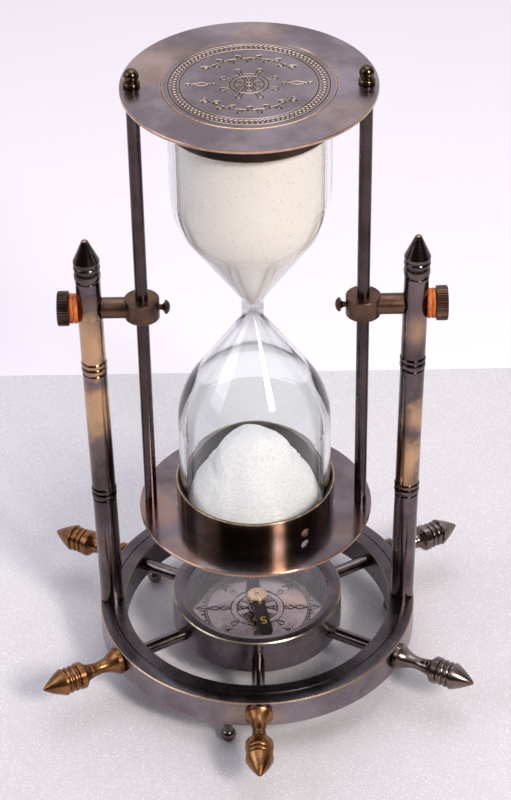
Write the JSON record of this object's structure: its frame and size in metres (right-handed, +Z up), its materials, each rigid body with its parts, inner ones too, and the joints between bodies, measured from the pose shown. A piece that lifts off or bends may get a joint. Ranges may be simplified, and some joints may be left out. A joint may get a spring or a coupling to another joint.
{
  "type": "turning hourglass",
  "caption": "Hourglass in a turning frame held by two posts on a ship's-wheel base with pointed handles, ball feet and a lidded compass.",
  "frame": {"origin": "on the resting surface, under the middle of the wheel", "axes": "+Z up along the hourglass, +X along the pivot axis towards the right knob, -Y the front"},
  "size_m": [0.2112, 0.2434, 0.3359],
  "materials": {
    "wheel_bronze": "satin",
    "dark_bronze": "polished",
    "copper_handle": "gloss",
    "bronze_handle": "polished",
    "post_bronze": "polished",
    "hardware_bronze": "satin",
    "compass_bronze": "satin",
    "dial_bronze": "satin",
    "plate_bronze": "polished",
    "cup_bronze": "satin",
    "cap_brass": "polished",
    "needle_black": "matte",
    "steel": "satin",
    "jewel": "polished",
    "lens_glass": "polished",
    "bulb_glass": "polished",
    "gasket_rubber": "matte",
    "fibre_washer": "satin",
    "cork": "matte",
    "sand": "matte"
  },
  "bodies": {
    "base": {"wheel_rim": "wheel_bronze", "spoke_1": "dark_bronze", "spoke_2": "dark_bronze", "spoke_3": "dark_bronze", "spoke_4": "dark_bronze", "spoke_5": "dark_bronze", "spoke_6": "dark_bronze", "handle_1": "copper_handle", "handle_2": "copper_handle", "handle_3": "copper_handle", "handle_4": "bronze_handle", "handle_5": "bronze_handle", "handle_6": "bronze_handle", "foot_1": "dark_bronze", "foot_2": "dark_bronze", "foot_3": "dark_bronze", "compass_bowl": "compass_bronze", "compass_bezel": "compass_bronze", "compass_lens": "lens_glass", "lens_gasket": "gasket_rubber", "compass_dial": "dial_bronze", "compass_pivot_pin": "steel", "post_left": "post_bronze", "post_finial_left": "post_bronze", "post_screw_left": "steel", "inner_washer_left": "fibre_washer", "outer_washer_left": "fibre_washer", "post_right": "post_bronze", "post_finial_right": "post_bronze", "post_screw_right": "steel", "inner_washer_right": "fibre_washer", "outer_washer_right": "fibre_washer"},
    "needle": {"compass_needle": "needle_black", "needle_cap": "cap_brass", "needle_jewel": "jewel"},
    "pivot_carrier": {"pivot_collar_left": "hardware_bronze", "pivot_collar_right": "hardware_bronze", "pivot_shaft_left": "hardware_bronze", "pivot_shaft_right": "hardware_bronze"},
    "hourglass": {"top_plate": "plate_bronze", "bottom_plate": "plate_bronze", "top_cup": "cup_bronze", "bottom_cup": "cup_bronze", "top_cup_pad": "cork", "bottom_cup_pad": "cork", "upper_bulb": "bulb_glass", "lower_bulb": "bulb_glass", "sand_upper": "sand", "sand_lower": "sand", "frame_rod_left": "hardware_bronze", "top_nut_left": "hardware_bronze", "bottom_nut_left": "hardware_bronze", "frame_rod_right": "hardware_bronze", "top_nut_right": "hardware_bronze", "bottom_nut_right": "hardware_bronze"},
    "knob_left": {"knob_left": "hardware_bronze"},
    "knob_right": {"knob_right": "hardware_bronze"},
    "clamp_left": {"clamp_screw_left": "hardware_bronze"},
    "clamp_right": {"clamp_screw_right": "hardware_bronze"}
  },
  "joints": [
    {"name": "frame_flip", "type": "hinge", "parent": "base", "child": "pivot_carrier", "pos_m": [0, 0, 0.2098], "axis": [1, 0, 0], "continuous": true},
    {"name": "frame_height", "type": "slide", "parent": "pivot_carrier", "child": "hourglass", "axis": [0, 0, 1], "range_m": [-0.038, 0.038]},
    {"name": "needle_spin", "type": "hinge", "parent": "base", "child": "needle", "pos_m": [0, 0, 0.0312], "axis": [0, 0, 1], "continuous": true},
    {"name": "knob_left_turn", "type": "hinge", "parent": "pivot_carrier", "child": "knob_left", "pos_m": [-0.088, 0, 0.2098], "axis": [-1, 0, 0], "range_deg": [0, 540]},
    {"name": "knob_right_turn", "type": "hinge", "parent": "pivot_carrier", "child": "knob_right", "pos_m": [0.088, 0, 0.2098], "axis": [1, 0, 0], "range_deg": [0, 540]},
    {"name": "clamp_left_turn", "type": "hinge", "parent": "pivot_carrier", "child": "clamp_left", "pos_m": [-0.04, 0, 0.2098], "axis": [1, 0, 0], "range_deg": [0, 720]},
    {"name": "clamp_right_turn", "type": "hinge", "parent": "pivot_carrier", "child": "clamp_right", "pos_m": [0.04, 0, 0.2098], "axis": [-1, 0, 0], "range_deg": [0, 720]}
  ]
}
